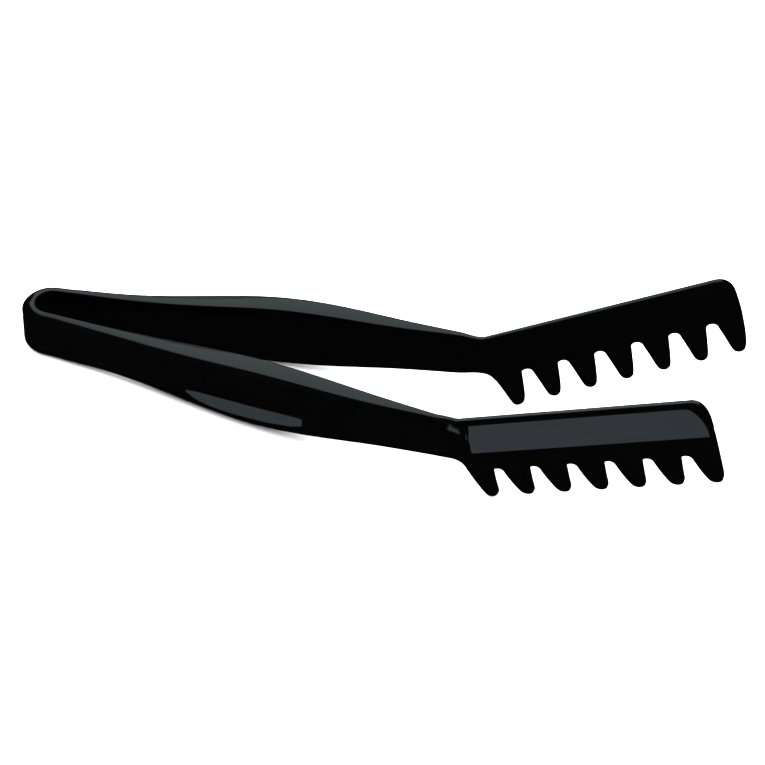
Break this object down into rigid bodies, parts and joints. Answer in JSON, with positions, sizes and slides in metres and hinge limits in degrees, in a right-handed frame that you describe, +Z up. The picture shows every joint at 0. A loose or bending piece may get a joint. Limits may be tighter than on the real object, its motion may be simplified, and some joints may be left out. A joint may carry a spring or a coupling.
{
  "type": "spring tongs",
  "caption": "One-piece plastic kitchen tongs: a springy U-shaped bow joins swelling handles that end in upturned combs for gripping pasta.",
  "frame": {"origin": "on the surface the tongs stand on, under the middle of their box", "axes": "+X from the bow towards the combs, +Y towards the left arm, +Z up; the tongs are symmetric about Y = 0"},
  "size_m": [0.2847, 0.084, 0.0781],
  "materials": {
    "black_nylon": "gloss"
  },
  "bodies": {
    "bow": {"bow": "black_nylon"},
    "left_arm": {"left_spring_leg": "black_nylon", "left_handle": "black_nylon", "left_neck": "black_nylon", "left_comb_shoulder": "black_nylon", "left_comb_spine": "black_nylon", "left_tooth_1": "black_nylon", "left_tooth_2": "black_nylon", "left_tooth_3": "black_nylon", "left_tooth_4": "black_nylon", "left_tooth_5": "black_nylon", "left_tooth_6": "black_nylon", "left_tooth_7": "black_nylon"},
    "right_arm": {"right_spring_leg": "black_nylon", "right_handle": "black_nylon", "right_neck": "black_nylon", "right_comb_shoulder": "black_nylon", "right_comb_spine": "black_nylon", "right_tooth_1": "black_nylon", "right_tooth_2": "black_nylon", "right_tooth_3": "black_nylon", "right_tooth_4": "black_nylon", "right_tooth_5": "black_nylon", "right_tooth_6": "black_nylon", "right_tooth_7": "black_nylon"}
  },
  "joints": [
    {"name": "left_squeeze", "type": "hinge", "parent": "bow", "child": "left_arm", "pos_m": [-0.12169, 0.00735, 0.0111], "axis": [0.0685, 0, -0.9976], "range_deg": [0, 8], "stiffness_Nm_per_rad": 4},
    {"name": "right_squeeze", "type": "hinge", "parent": "bow", "child": "right_arm", "pos_m": [-0.12169, -0.00735, 0.0111], "axis": [-0.0685, 0, 0.9976], "range_deg": [0, 8], "stiffness_Nm_per_rad": 4}
  ],
  "couplings": [
    {"joint": "right_squeeze", "follows": "left_squeeze", "ratio": 1}
  ]
}
